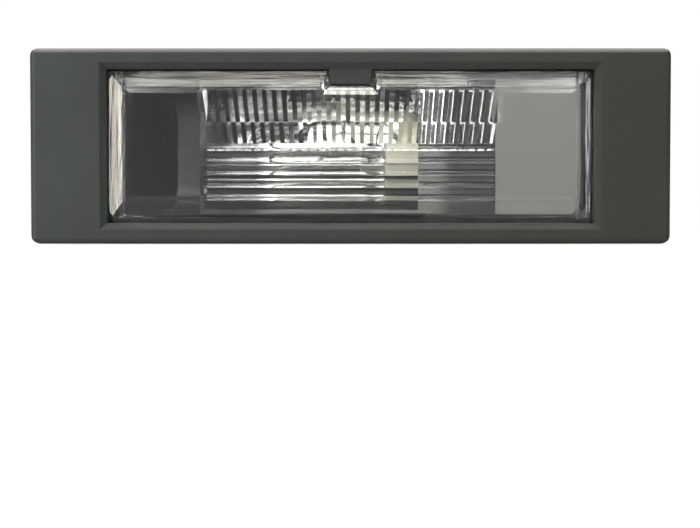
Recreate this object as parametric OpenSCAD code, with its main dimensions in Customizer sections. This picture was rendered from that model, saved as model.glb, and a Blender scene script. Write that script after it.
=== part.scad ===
// Number plate lamp: a slim rectangular lamp that lies in a panel over the number plate.
// Millimetres. The lens faces -Y, the length runs along X and +Z is up as the lamp is pictured.
// The origin is the middle of the bezel's back face, the face that seats on the panel.

/* [Bezel] */
// Width of the bezel's frame past the window at its two ends
frame_end = 12.2; // [10:0.1:20]
// Width of the bezel's frame above and below the window
frame_edge = 3.3; // [2.9:0.1:6]
// Thickness of the bezel, from its seat to its front face
bezel_t = 3; // [2.6:0.1:5]
// Radius of the bezel's corners, seen from the front
bezel_corner_r = 1.6; // [1:0.1:4]
// Radius of the rounding along the front edges
bezel_edge_r = 0.9; // [0.3:0.1:1.4]
// Width of the sloping lip round the window
lip_w = 1; // [0.4:0.1:1.4]
// Gap between the window and the lens
window_gap = 0.4; // [0.2:0.05:0.6]
// Width of the bezel's tab that keys the lens at the top
tab_w = 7; // [4:0.5:9]
// How far the tab reaches down into the window
tab_drop = 2.4; // [1:0.1:3]
// Distance of the snap hooks from the middle of the lamp
hook_x = 21; // [12:1:32]
// Width of a snap hook
hook_w = 2; // [1.2:0.1:4]
// Thickness of a snap hook's post
hook_t = 0.8; // [0.6:0.05:0.9]
// How far a hook's barb reaches over the housing's rim
barb = 0.55; // [0.4:0.05:0.8]
// Depth of the rebate in the bezel's back that takes the housing's rim
rebate_d = 0.3; // [0.2:0.05:0.5]

/* [Lens] */
// Length of the lens as seen in the window
lens_w = 77.8; // [72:0.2:84]
// Height of the lens as seen in the window
lens_h = 24; // [23:0.1:26]
// Radius of the lens corners
lens_corner_r = 2; // [1:0.1:3]
// Wall of the lens
lens_t = 1.6; // [1.2:0.1:2]
// How far the lens face lies behind the bezel's front
lens_set_back = 0.3; // [0.2:0.1:1]
// Height of the bevel round the lens face
bevel_drop = 0.8; // [0.6:0.1:1.4]
// Width of the bevel at the two short ends
bevel_side = 2.4; // [1.5:0.1:4]
// Width of the bevel along the top
bevel_top = 2.7; // [1.5:0.1:4]
// Width of the bevel along the bottom
bevel_bottom = 3.3; // [1.5:0.1:4]
// Wall of the lens skirt
skirt_t = 1.1; // [0.8:0.1:1.4]
// Width of the bevel round the lens notch
notch_bevel_w = 1.3; // [0.6:0.1:1.6]
// Thickness of the lens flange behind the bezel
flange_t = 1; // [0.8:0.1:1.5]
// How far the flange reaches past the lens at its ends
flange_side = 1.15; // [0.9:0.05:1.6]
// How far the flange reaches past the lens at top and bottom
flange_edge = 0.7; // [0.6:0.05:1.2]

/* [Lens optics] */
// Upright flutes on each side of the middle one
flutes_each_side = 15; // [4:1:15]
// Pitch of the flutes at their upper ends
flute_pitch = 1.6; // [1.4:0.02:1.6]
// Height of a flute's ridge over the inner face
flute_h = 0.6; // [0.3:0.05:0.7]
// Narrowing of the fan of flutes from top to bottom
fan_ratio = 0.945; // [0.94:0.005:1]
// Height at which the upper tier of flutes meets the lower one
tier_z = 3.9; // [2:0.1:6]
// Length of the block of lying ribs
block_w = 46.3; // [30:0.1:50]
// Top of the block of ribs
block_top_z = 0.5; // [-1:0.1:1.5]
// Thickness of the block behind the lens wall
block_t = 0.75; // [0.4:0.05:0.75]
// Pitch of the lying ribs
rib_pitch = 2; // [1.4:0.1:2.4]
// Radius of a lying rib
rib_r = 1.6; // [1.2:0.05:2.4]
// Number of whole lying ribs
rib_count = 4; // [1:1:4]
// How far a rib stands out from the block
rib_out = 0.5; // [0.2:0.05:0.5]

/* [Seals] */
// Thickness of the seal between lens and housing
lens_seal_t = 0.6; // [0.5:0.05:1]
// Width of that seal
lens_seal_w = 1.2; // [0.8:0.1:1.2]
// Thickness of the rubber ring under the holder's flange
ring_t = 1.9; // [1:0.1:2.5]
// Outer radius of the rubber ring
ring_r = 9.2; // [8.8:0.1:9.5]

/* [Housing] */
// Wall of the housing
wall = 1.2; // [0.9:0.05:1.5]
// Wall of the rim that holds the lens flange
rim_wall = 0.9; // [0.8:0.05:1.3]
// How far the barrel is narrower than the rim, on each side
barrel_step = 1.35; // [1.2:0.05:2]
// Radius of the barrel's shoulders
shoulder_r = 7; // [4:0.1:8]
// Place along X where the sloping end of the barrel starts on its back
facet_x = -31.2; // [-36:0.1:-26]
// Diameter of the two shallow round marks on the barrel's back
mark_d = 8.8; // [5:0.1:10]
// Depth of the round marks
mark_depth = 0.25; // [0.1:0.05:0.5]
// Place of the round mark near the sloping end
mark_left_x = -26.1; // [-27:0.1:-15]
// Place of the round mark near the neck
mark_right_x = 3.4; // [-6:0.1:3.4]
// Width of the notch in the barrel's upper side
notch_w = 7.6; // [5:0.1:9]
// Depth of that notch
notch_depth = 2; // [1:0.1:2.4]
// Length over which the neck tapers into the barrel
taper_len = 7; // [5:0.5:9]
// How much narrower the neck's cone is at its far end
taper_drop = 3.6; // [2:0.1:5]
// Height of the fairing's upright sides over the pan
fairing_side_h = 3; // [2:0.1:5]
// Height of the fairing's top over the pan
fairing_h = 6.4; // [5:0.1:8]
// Width of the slope between the fairing's sides and its top
fairing_slope = 3.4; // [2:0.1:5]

/* [Reflector] */
// Wall of the reflector
reflector_t = 0.7; // [0.5:0.05:1]
// Gap between the reflector and the barrel
reflector_gap = 0.25; // [0.15:0.05:0.4]
// Place of the reflector's closed end
reflector_x = -24.5; // [-27:0.1:-20]
// Gap between the flat apron beside the trough and the lens seal
apron_gap = 1.4; // [0.3:0.1:6]

/* [Bulb holder] */
// Place along X of the face on which the rubber ring seats
neck_x = 18.6; // [17:0.1:20]
// Wall behind which the holder's lugs lock
neck_wall = 3.5; // [2:0.1:4]
// Radius of the holder's nose
nose_r = 6.6; // [6.4:0.05:7]
// Length of the nose inside the flange
nose_len = 14.5; // [12:0.1:15]
// Radius over the lugs
lug_r = 8.2; // [7.8:0.1:8.4]
// Width of a lug
lug_w = 4; // [2:0.1:5]
// Thickness of a lug
lug_t = 1.6; // [1:0.1:2]
// Radius of the holder's flange
holder_flange_r = 8.7; // [8:0.1:9]
// Thickness of the holder's flange
holder_flange_t = 3.5; // [2:0.1:4]
// Outer radius of the connector shroud
shroud_r = 7.7; // [7.2:0.05:8]
// Wall of the connector shroud
shroud_wall = 1.1; // [0.8:0.05:1.5]
// Length of the connector shroud behind the flange
shroud_len = 18.3; // [15:0.1:22]
// Width of a terminal blade
blade_w = 2.8; // [2:0.1:3.2]
// Thickness of the terminal strip
blade_t = 0.6; // [0.4:0.05:0.8]
// Distance of each blade from the holder's axis
blade_z = 2.5; // [2.3:0.05:3]
// Length of a blade inside the shroud
blade_len = 12.5; // [8:0.1:16]

/* [Bulb] */
// Radius of the bulb glass
bulb_r = 5.1; // [4:0.1:5.3]
// Length of the bulb
bulb_len = 26.8; // [24:0.1:28]
// Wall of the bulb glass
glass_t = 0.5; // [0.3:0.05:0.8]
// Width of the flat wedge base
wedge_w = 9.4; // [8:0.1:9.6]
// Thickness of the wedge base
wedge_t = 2.3; // [2:0.05:2.5]
// Length of the wedge base in the holder
wedge_len = 6.8; // [6:0.1:7.5]
// Air space between the bulb and the reflector
bulb_gap = 1.15; // [0.8:0.05:2]
// Length over which the glass narrows from its round part to the wedge
glass_neck_len = 3.4; // [2:0.1:5]
// Distance of the filament from the wedge end of the glass
filament_back = 9.5; // [8:0.1:12]
// Radius of the lead wires
lead_r = 0.2; // [0.15:0.01:0.25]
// Length of the filament
filament_len = 5.2; // [4:0.1:6]
// Radius of the filament coil
filament_r = 0.35; // [0.25:0.01:0.5]
// Turns of the filament
filament_turns = 13; // [6:1:16]
// Radius of the filament's wire
filament_wire_r = 0.09; // [0.05:0.01:0.12]

/* [Hooked end] */
// Length of the lip that hooks behind the panel
lip_len = 15.5; // [8:0.5:18]
// Height of the lip's lower end over the bezel's lower edge
lip_rise = 4.8; // [3:0.1:8]
// How far the lip stands out from the pan
lip_out = 0.8; // [0.6:0.1:1.2]
// Thickness of the lip
lip_t = 1; // [0.8:0.1:1.2]
// Length along X of the pocket in the bezel's back under the lip
pocket_w = 4.2; // [3:0.1:6]
// Depth of that pocket
pocket_d = 1.3; // [0.8:0.1:1.6]
// Length along X of the shallow step round the pocket
step_w = 6.7; // [5:0.1:9]
// Depth of the step
step_d = 0.35; // [0.2:0.05:0.6]

/* [Spring clip] */
// Width of the spring leaf
clip_w = 6; // [4:0.1:8]
// Width of the clip's foot over both wings
clip_foot_w = 9.8; // [8.6:0.1:11]
// Thickness of the clip's steel
clip_t = 0.4; // [0.3:0.05:0.6]
// Length of the leaf
clip_len = 7; // [5:0.1:8]
// Height of the clip over the bezel's back
clip_h = 6.2; // [5:0.1:8]
// Drop of the leaf from its bend to its tip
clip_drop = 3; // [1:0.1:3.5]
// Length of the stiffening bead across the leaf
bead_len = 3.2; // [2:0.1:4]
// Radius of that bead
bead_r = 0.5; // [0.3:0.05:0.6]
// Turn of the bead from the leaf's run
bead_turn = 52; // [20:1:80]

/* [Hidden] */
$fn = 72;

// Clearances between mating pieces
fit_gap = 0.15;
slide_gap = 0.2;
press_gap = 0.05;
// How far a cutting shape runs past the face that it cuts
over = 0.5;

// Front to back
bezel_front_y = -bezel_t;
seat_y = -rebate_d;
flange_y = seat_y + flange_t;
lens_front_y = bezel_front_y + lens_set_back;
lens_edge_y = lens_front_y + bevel_drop;
lens_inner_y = lens_front_y + lens_t;
floor_y = flange_y + lens_seal_t;
pan_back_y = floor_y + wall;
axis_y = pan_back_y + slide_gap + ring_r;

// Lens, window and the rim round the lens
window_w = lens_w + 2 * window_gap;
window_h = lens_h + 2 * window_gap;
bezel_w = window_w + 2 * frame_end;
bezel_h = window_h + 2 * frame_edge;
flange_w = lens_w + 2 * flange_side;
flange_h = lens_h + 2 * flange_edge;
pan_w = flange_w + 2 * (fit_gap + rim_wall);
pan_h = flange_h + 2 * (fit_gap + rim_wall);
seal_w = flange_w - 2 * fit_gap;
seal_h = flange_h - 2 * fit_gap;
pan_corner_r = lens_corner_r + rim_wall;
post_z = pan_h / 2 + 2 * press_gap;
face_top_z = lens_h / 2 - bevel_top;
face_bottom_z = -lens_h / 2 + bevel_bottom;

// Notch of the lens round the bezel's tab
tab_gap = 0.45;
tab_wall = 0.9;
tab_taper = 0.3;
tab_inset = lip_w;
notch_narrowing = 0.2;
notch_lens_top = tab_w + 2 * tab_gap;
notch_lens_bottom = tab_w - notch_narrowing;
notch_lens_z = window_h / 2 - tab_drop - tab_gap;
tab_y0 = bezel_front_y + tab_inset;
tab_y1 = seat_y - slide_gap;
notch_lens_half = notch_lens_top / 2 + tab_wall;
// How much narrower the bevel is on the inner face of the lens, and its corners there
inner_bevel_step = 0.4;
inner_corner_step = 0.5;
// How far flutes and ribs run into what they stand on
merge = 0.2;
// Moulding pip on the inner face, low on the holder's side
pip_x = 28.7;
pip_z = -8.1;
pip_r = 0.4;
pip_h = 0.3;

// Barrel, deep enough for the bulb and the reflector behind it
barrel_h = pan_h - 2 * barrel_step;
apron_h = lens_h - 2 * skirt_t - 2 * fit_gap;
reflector_inset = max(wall + reflector_gap, (barrel_h - apron_h) / 2);
barrel_back_y = axis_y + bulb_r + bulb_gap + reflector_t + reflector_inset;
shoulder_y = barrel_back_y - shoulder_r;
flat_half = barrel_h / 2 - shoulder_r;
barrel_x0 = -pan_w / 2 + 0.1;
barrel_corner_r = 1.3;
facet_edge = 0.6;
facet_y0 = pan_back_y + facet_edge;
facet_run = facet_x - barrel_x0;
facet_rise = barrel_back_y - facet_y0;
facet_wall = wall * sqrt(facet_run * facet_run + facet_rise * facet_rise) / facet_rise;
ledge_x = -seal_w / 2 + lens_seal_w;
cavity_back_y = barrel_back_y - wall;
lock_x = neck_x - neck_wall;
lug_run = 1;
cavity_x1 = lock_x - lug_t - lug_run;
barrel_x1 = cavity_x1 + wall;

notch_z = barrel_h / 2 - notch_depth;
notch_wall_z = notch_z - wall;
notch_y1 = shoulder_y + sqrt(pow(shoulder_r - wall, 2) - pow(notch_wall_z - flat_half, 2));

// Neck
neck_bore_r = nose_r + slide_gap;
slot_r = lug_r + slide_gap / 2;
chamber_r = lug_r + slide_gap;
neck_r = chamber_r + wall;
taper_x1 = cavity_x1 - barrel_corner_r;
taper_x0 = taper_x1 - taper_len;
taper_r = neck_r - taper_drop;
fairing_x1 = neck_x + ring_t + slide_gap;
fairing_side_y = pan_back_y + fairing_side_h;
fairing_top_y = pan_back_y + fairing_h;
fairing_top_half = barrel_h / 2 - fairing_slope;
lug_count = 3;
lug_turn = 60;

// Reflector
reflector_x1 = cavity_x1 - lug_run;
apron_y = floor_y - reflector_t;
apron_w = seal_w / 2 - lens_seal_w - apron_gap - reflector_x1;

// Bulb holder
holder_flange_x = neck_x + ring_t;
shroud_x0 = holder_flange_x + holder_flange_t;
shroud_x1 = shroud_x0 + shroud_len;
nose_x = holder_flange_x - nose_len;
wedge_x1 = nose_x + wedge_len;
shroud_floor_x = shroud_x0 - slide_gap;
holder_edge_in = 0.5;
holder_edge_len = 0.6;
finger_z = wedge_t / 2 + 2 * lead_r + press_gap + blade_t / 2;
// Contact strip along X: its mouth, where it touches the bulb, its knee and its anchor
finger_mouth_x = nose_x + 1.2;
finger_touch_x = nose_x + 3.2;
finger_knee_x = wedge_x1 + 1;
anchor_x = wedge_x1 + 2.6;

// Bulb
bulb_tip_x = wedge_x1 - bulb_len;
glass_mouth_gap = 1;
glass_x1 = nose_x - glass_mouth_gap;
glass_shoulder_x = glass_x1 - glass_neck_len;
filament_x = glass_x1 - filament_back;
pinch = 0.6;
wedge_step_y = 0.4;
wedge_step_x = 1.2;
lead_y = 1.15;
lead_straight = 2;
lead_end_x = nose_x + 2.6;

// Spring clip and the pocket of the pan in which its foot stands
clip_stand_off = 1.3;
clip_x = -pan_w / 2 - clip_stand_off;
clip_bend_r = 1;
clip_foot_y = 0.5;
clip_wing_top_y = 4.2;
clip_curl = [-0.5, 0.35];
bead_place = 0.33;
bead_z = 0.4;
clip_pocket_wall = 0.7;
clip_pocket_y0 = clip_foot_y / 2;
clip_pocket_y1 = pan_back_y;
clip_slot_x0 = clip_x - clip_t / 2 - press_gap;
clip_slot_half = clip_foot_w / 2 + press_gap;
clip_pocket_x0 = clip_slot_x0 - clip_pocket_wall;
clip_pocket_half = clip_slot_half + clip_pocket_wall;

// Recesses in the bezel's back
lip_z0 = -bezel_h / 2 + lip_rise;
lip_z1 = lip_z0 + lip_len;
step_margin = 1.5;
step_x0 = pan_w / 2 + 2 * fit_gap;
channel_half = clip_w / 2 + 1;
channel_d = 0.5;
dimple_x = 48.2;
dimple_z = 9.2;
dimple_r = 0.45;
dimple_d = 0.25;
arch_r = 1.6;
arch_x = -pan_w / 2 - 5;
arch_z0 = -bezel_h / 2 + 3.1;
arch_h = 4.2;
arch_d = 0.3;

// Outlines of strips of sheet: each corner is moved out by half the thickness along its mitre
function unit(v) = v / norm(v);
function left_of(v) = [-v[1], v[0]];
function heading(p, i) = unit(p[min(i + 1, len(p) - 1)] - p[min(i, len(p) - 2)]);
function mitre(p, i) = let (
    a = left_of(heading(p, max(i - 1, 0))),
    b = left_of(heading(p, i)),
    m = unit(a + b)) m / (m * a);
function strip_outline(p, t) = concat(
    [for (i = [0 : len(p) - 1]) p[i] + mitre(p, i) * t / 2],
    [for (i = [len(p) - 1 : -1 : 0]) p[i] - mitre(p, i) * t / 2]);
// Points of an arc about a centre, from one angle to another
function arc(centre, r, a0, a1, steps) =
    [for (i = [0 : steps]) let (a = a0 + (a1 - a0) * i / steps) centre + r * [cos(a), sin(a)]];

// Draws an X-Z outline as a slab between two places along Y
module along_y(y0, y1) {
    translate([0, y1, 0])
        rotate([90, 0, 0])
            linear_extrude(y1 - y0)
                children();
}

// Draws a Y-Z outline as a bar between two places along X
module along_x(x0, x1) {
    translate([x0, 0, 0])
        rotate([90, 0, 90])
            linear_extrude(x1 - x0)
                children();
}

// Draws an X-Y outline with a height of h, centred on Z = 0
module across_z(h) {
    translate([0, 0, -h / 2])
        linear_extrude(h)
            children();
}

// A box from its low corner and its high corner
module box(low, high) {
    translate(low)
        cube(high - low);
}

// A cylinder on the holder's axis
module on_axis(x0, x1, r) {
    translate([x0, axis_y, 0])
        rotate([0, 90, 0])
            cylinder(h = x1 - x0, r = r);
}

// Turns an outline (radius, place along X) about the holder's axis
module turned() {
    translate([0, axis_y, 0])
        rotate([0, 90, 0])
            rotate_extrude()
                children();
}

// A rectangle with round corners
module round_rect(w, h, r) {
    square([w - 2 * r, h], center = true);
    square([w, h - 2 * r], center = true);
    for (x = [-1, 1], y = [-1, 1])
        translate([x * (w / 2 - r), y * (h / 2 - r)])
            circle(r);
}

// A trapezium hanging from z_top, half_top wide above and half_bottom wide below
module trapezium(half_top, half_bottom, z_top, z_bottom) {
    polygon([[-half_top, z_top], [half_top, z_top], [half_bottom, z_bottom],
        [-half_bottom, z_bottom]]);
}

// A slab of the bezel with its front edges rounded along all four sides
module bezel_blank() {
    r = bezel_edge_r;
    y = bezel_front_y;
    intersection() {
        along_y(y, 0)
            round_rect(bezel_w, bezel_h, bezel_corner_r);
        along_x(-bezel_w / 2, bezel_w / 2) {
            translate([y + r, -bezel_h / 2])
                square([bezel_t - r, bezel_h]);
            translate([y, -bezel_h / 2 + r])
                square([bezel_t, bezel_h - 2 * r]);
            for (s = [-1, 1])
                translate([y + r, s * (bezel_h / 2 - r)])
                    circle(r);
        }
        across_z(bezel_h) {
            translate([-bezel_w / 2, y + r])
                square([bezel_w, bezel_t - r]);
            translate([-bezel_w / 2 + r, y])
                square([bezel_w - 2 * r, bezel_t]);
            for (s = [-1, 1])
                translate([s * (bezel_w / 2 - r), y + r])
                    circle(r);
        }
    }
}

// The sloping lip round the window, as a cut that opens toward the front
module window_lip() {
    y0 = bezel_front_y - over;
    y1 = bezel_front_y + lip_w;
    reach = lip_w + over;
    intersection() {
        along_x(-window_w, window_w)
            polygon([[y1, -window_h / 2], [y0, -window_h / 2 - reach],
                [y0, window_h / 2 + reach], [y1, window_h / 2]]);
        across_z(2 * window_h)
            polygon([[-window_w / 2, y1], [-window_w / 2 - reach, y0],
                [window_w / 2 + reach, y0], [window_w / 2, y1]]);
    }
}

// One snap hook of the bezel at the top edge: a post with a barb over the housing's rim
module snap_hook() {
    catch_y = pan_back_y + press_gap;
    top_y = catch_y + barb + hook_t / 2;
    translate([-hook_w / 2, 0, 0])
        along_x(0, hook_w)
            polygon([[seat_y - over, post_z], [catch_y, post_z], [catch_y, post_z - barb],
                [top_y, post_z], [top_y, post_z + hook_t], [seat_y - over, post_z + hook_t]]);
}

// The rebate for the pan's rim, wider at the snap hooks, the foot of the clip and the hook lip
module rim_rebate() {
    relief_x0 = clip_pocket_x0 - fit_gap;
    relief_half = clip_pocket_half + fit_gap;
    along_y(seat_y, over) {
        round_rect(pan_w + 2 * fit_gap, pan_h + 2 * fit_gap, pan_corner_r + fit_gap);
        for (x = [-hook_x, hook_x])
            translate([x, 0])
                square([hook_w + 2 * fit_gap, 2 * (post_z + hook_t + fit_gap)], center = true);
        translate([relief_x0, -relief_half])
            square([-pan_w / 2 - relief_x0, 2 * relief_half]);
        translate([pan_w / 2, lip_z0 - fit_gap])
            square([lip_out + fit_gap, lip_len + 2 * fit_gap]);
    }
}

// Shallow recesses in the bezel's back: a stepped pocket and a dimple at one end, a channel and an arch
// at the other
module back_recesses() {
    box([step_x0, -step_d, lip_z0 - step_margin], [step_x0 + step_w, over, lip_z1 + fit_gap]);
    box([step_x0, -pocket_d, lip_z0], [step_x0 + pocket_w, over, lip_z1]);
    box([-bezel_w / 2 - over, -channel_d, -channel_half], [clip_pocket_x0, over, channel_half]);
    along_y(-arch_d, over) {
        translate([arch_x, arch_z0 + arch_h - arch_r])
            circle(arch_r);
        translate([arch_x - arch_r, arch_z0])
            square([2 * arch_r, arch_h - arch_r]);
    }
    along_y(-dimple_d, over)
        translate([dimple_x, dimple_z])
            circle(dimple_r);
}

// The frame that shows in front: window, tab, snap hooks and the recesses in its back
module bezel() {
    color("#4b4e4a") {
        difference() {
            bezel_blank();
            along_y(bezel_front_y - over, over)
                square([window_w, window_h], center = true);
            window_lip();
            rim_rebate();
            back_recesses();
        }
        along_y(tab_y0, tab_y1)
            trapezium(tab_w / 2, tab_w / 2 - tab_taper, window_h / 2 + over,
                window_h / 2 - tab_drop);
        for (x = [-hook_x, hook_x], turn = [0, 180])
            translate([x, 0, 0])
                rotate([0, turn, 0])
                    snap_hook();
    }
}

// The bevelled form of the lens, inside or outside
module lens_form(w, h, y_front, y_edge, y_back, side, top, bottom, r) {
    intersection() {
        along_y(y_front, y_back)
            round_rect(w, h, r);
        across_z(h)
            polygon([[-w / 2, y_back], [-w / 2, y_edge], [-w / 2 + side, y_front],
                [w / 2 - side, y_front], [w / 2, y_edge], [w / 2, y_back]]);
        along_x(-w / 2, w / 2)
            polygon([[y_back, -h / 2], [y_edge, -h / 2], [y_front, -h / 2 + bottom],
                [y_front, h / 2 - top], [y_edge, h / 2], [y_back, h / 2]]);
    }
}

// One tier of upright flutes: roof-shaped ridges that lean toward a common point, as a fan
module flute_tier(z0, z1, shift) {
    half = flute_pitch / 2 + merge;
    fan_h = face_top_z - block_top_z;
    n = flutes_each_side;
    for (i = [-n : n - 2 * shift]) {
        x_top = (i + shift) * flute_pitch;
        drift = x_top * (1 - fan_ratio) / fan_h;
        x0 = x_top - drift * (face_top_z - z0);
        lean = atan(drift);
        translate([x0, lens_inner_y, z0])
            rotate([0, lean, 0])
                linear_extrude(height = (z1 - z0) / cos(lean))
                    polygon([[-half, -over], [half, -over], [half, 0], [0, flute_h], [-half, 0]]);
    }
}

// The block of lying ribs under the fan; its top edge cuts the uppermost rib
module rib_block() {
    block_bottom_z = face_bottom_z;
    rib_y = lens_inner_y + block_t + rib_out - rib_r;
    block_h = block_top_z - block_bottom_z;
    along_x(-block_w / 2, block_w / 2)
        intersection() {
            translate([lens_inner_y - over, block_bottom_z])
                square([2 * over + block_t + rib_out, block_h]);
            union() {
                translate([lens_inner_y - over, block_bottom_z])
                    square([over + block_t, block_h]);
                for (i = [0 : rib_count])
                    translate([rib_y, block_bottom_z + rib_pitch * (i + 0.5)])
                        circle(rib_r);
            }
        }
}

// The sloping wall round the lens notch, as a cut that opens toward the front
module notch_bevel() {
    z1 = lens_h / 2 + over;
    z0 = notch_lens_z;
    flare = (notch_lens_top - notch_lens_bottom) / 2 / (z1 - z0);
    grow = notch_bevel_w * (1 + over / bevel_drop);
    foot = grow * (1 - flare);
    y0 = lens_front_y - over;
    y1 = lens_edge_y;
    polyhedron(
        points = [
            [-notch_lens_bottom / 2 - foot, y0, z0 - grow], [notch_lens_bottom / 2 + foot, y0, z0 - grow],
            [notch_lens_top / 2 + grow, y0, z1], [-notch_lens_top / 2 - grow, y0, z1],
            [-notch_lens_bottom / 2, y1, z0], [notch_lens_bottom / 2, y1, z0],
            [notch_lens_top / 2, y1, z1], [-notch_lens_top / 2, y1, z1]],
        faces = [[3, 2, 1, 0], [4, 5, 6, 7], [0, 1, 5, 4], [1, 2, 6, 5], [2, 3, 7, 6], [3, 0, 4, 7]]);
}

// The clear lens: bevelled tray, flange, keyed notch and the optics on its inner face
module lens() {
    color("#e8ecec", 0.45)
    difference() {
        union() {
            difference() {
                union() {
                    lens_form(lens_w, lens_h, lens_front_y, lens_edge_y, flange_y,
                        bevel_side, bevel_top, bevel_bottom, lens_corner_r);
                    along_y(seat_y, flange_y)
                        round_rect(flange_w, flange_h, lens_corner_r + flange_edge);
                }
                lens_form(lens_w - 2 * skirt_t, lens_h - 2 * skirt_t, lens_inner_y,
                    lens_inner_y + bevel_drop, flange_y + over,
                    bevel_side - inner_bevel_step, bevel_top - inner_bevel_step,
                    bevel_bottom - inner_bevel_step, lens_corner_r - inner_corner_step);
            }
            flute_tier(tier_z, face_top_z - merge, 0);
            flute_tier(block_top_z - merge, tier_z, 0.5);
            rib_block();
            along_y(lens_inner_y - over, lens_inner_y + pip_h)
                translate([pip_x, pip_z])
                    circle(pip_r);
            along_y(lens_inner_y - over, flange_y)
                trapezium(notch_lens_half, notch_lens_bottom / 2 + tab_wall,
                    lens_h / 2 - skirt_t / 2, notch_lens_z - tab_wall);
        }
        along_y(lens_front_y - over, seat_y)
            trapezium(notch_lens_top / 2, notch_lens_bottom / 2, lens_h / 2 + over,
                notch_lens_z);
        notch_bevel();
    }
}

// The flat rubber frame pressed between the lens flange and the housing
module lens_seal() {
    color("#1c1c1e")
    along_y(flange_y, floor_y)
        difference() {
            round_rect(seal_w, seal_h, lens_corner_r);
            round_rect(seal_w - 2 * lens_seal_w, seal_h - 2 * lens_seal_w,
                lens_corner_r / 2);
        }
}

// Cross-section of the barrel, drawn in by inset: flat back, round shoulders, straight sides
module barrel_section(y0, inset) {
    half = barrel_h / 2 - inset;
    translate([y0, -half])
        square([shoulder_y - y0, 2 * half]);
    translate([y0, -flat_half])
        square([barrel_back_y - inset - y0, 2 * flat_half]);
    for (s = [-1, 1])
        translate([shoulder_y, s * flat_half])
            circle(shoulder_r - inset);
}

// Outside of the barrel, with its sloping end
module barrel_outside() {
    y0 = pan_back_y - over;
    intersection() {
        along_x(barrel_x0, barrel_x1)
            barrel_section(y0, 0);
        across_z(barrel_h)
            polygon([[barrel_x0, y0], [barrel_x0, facet_y0], [facet_x, barrel_back_y],
                [barrel_x1, barrel_back_y], [barrel_x1, y0]]);
        along_y(y0, barrel_back_y)
            translate([barrel_x0 + barrel_h, 0])
                round_rect(2 * barrel_h, barrel_h, barrel_corner_r);
    }
    along_x(barrel_x0 + 1.5 * barrel_h, barrel_x1)
        barrel_section(y0, 0);
}

// Space inside the barrel, open through the floor of the pan
module barrel_inside() {
    y0 = floor_y - over;
    slope = facet_run / facet_rise;
    x_sloped = barrel_x0 + facet_wall;
    intersection() {
        along_x(ledge_x, cavity_x1)
            barrel_section(y0, wall);
        across_z(barrel_h)
            polygon([[ledge_x, y0], [ledge_x, facet_y0 + (ledge_x - x_sloped) / slope],
                [x_sloped + (cavity_back_y - facet_y0) * slope, cavity_back_y],
                [cavity_x1, cavity_back_y], [cavity_x1, y0]]);
    }
}

// Neck: a stout ring round the holder that tapers into the barrel
module neck_outside() {
    turned()
        polygon([[0, taper_x0], [taper_r, taper_x0], [neck_r, taper_x1],
            [neck_r, neck_x], [0, neck_x]]);
}

// Space inside the neck: the lug chamber, the bore and the slots that let the lugs in
module neck_inside() {
    turned()
        polygon([[0, taper_x0 + wall], [taper_r - wall, taper_x0 + wall],
            [chamber_r, taper_x1 + wall / 2], [chamber_r, lock_x], [0, lock_x]]);
    on_axis(lock_x - over, neck_x + over, neck_bore_r);
    for (i = [0 : lug_count - 1])
        translate([0, axis_y, 0])
            rotate([i * 360 / lug_count + lug_turn, 0, 0])
                intersection() {
                    box([lock_x - over, 0, -lug_w / 2 - slide_gap],
                        [neck_x + over, slot_r, lug_w / 2 + slide_gap]);
                    rotate([0, 90, 0])
                        cylinder(h = neck_x + over, r = slot_r);
                }
}

// The low block that carries the neck on the pan
module fairing() {
    half = barrel_h / 2;
    y0 = pan_back_y - over;
    difference() {
        along_x(cavity_x1, fairing_x1)
            polygon([[y0, -half], [fairing_side_y, -half],
                [fairing_top_y, -fairing_top_half], [fairing_top_y, fairing_top_half],
                [fairing_side_y, half], [y0, half]]);
        on_axis(neck_x, fairing_x1 + over, ring_r + slide_gap);
    }
}

// Pocket at the end of the pan in which the foot of the spring clip stands
module clip_pocket() {
    slot_x1 = clip_x + clip_t / 2 + press_gap;
    difference() {
        box([clip_pocket_x0, clip_pocket_y0, -clip_pocket_half],
            [-pan_w / 2 + over, clip_pocket_y1, clip_pocket_half]);
        box([clip_slot_x0, clip_foot_y, -clip_slot_half],
            [slot_x1, clip_pocket_y1 + over, clip_slot_half]);
    }
}

// Lip at the other end of the pan that hooks behind the panel's edge
module hook_lip() {
    box([pan_w / 2 - over, pan_back_y - lip_t, lip_z0], [pan_w / 2 + lip_out, pan_back_y, lip_z1]);
}

// The black housing: pan, barrel, neck, fairing, clip pocket and hook lip in one moulding
module housing() {
    color("#2c2e34")
    difference() {
        union() {
            difference() {
                union() {
                    along_y(seat_y, pan_back_y)
                        round_rect(pan_w, pan_h, pan_corner_r);
                    barrel_outside();
                    neck_outside();
                    fairing();
                    hook_lip();
                    clip_pocket();
                }
                along_y(seat_y - over, floor_y)
                    round_rect(flange_w + 2 * fit_gap, flange_h + 2 * fit_gap,
                        pan_corner_r - rim_wall);
                barrel_inside();
                neck_inside();
            }
            box([-notch_w / 2 - wall, floor_y, notch_wall_z],
                [notch_w / 2 + wall, notch_y1, barrel_h / 2 - wall / 2]);
        }
        box([-notch_w / 2, pan_back_y, notch_z], [notch_w / 2, barrel_back_y, barrel_h]);
        for (x = [mark_left_x, mark_right_x])
            translate([x, 0, 0])
                along_y(barrel_back_y - mark_depth, barrel_back_y + over)
                    circle(d = mark_d);
    }
}

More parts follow.
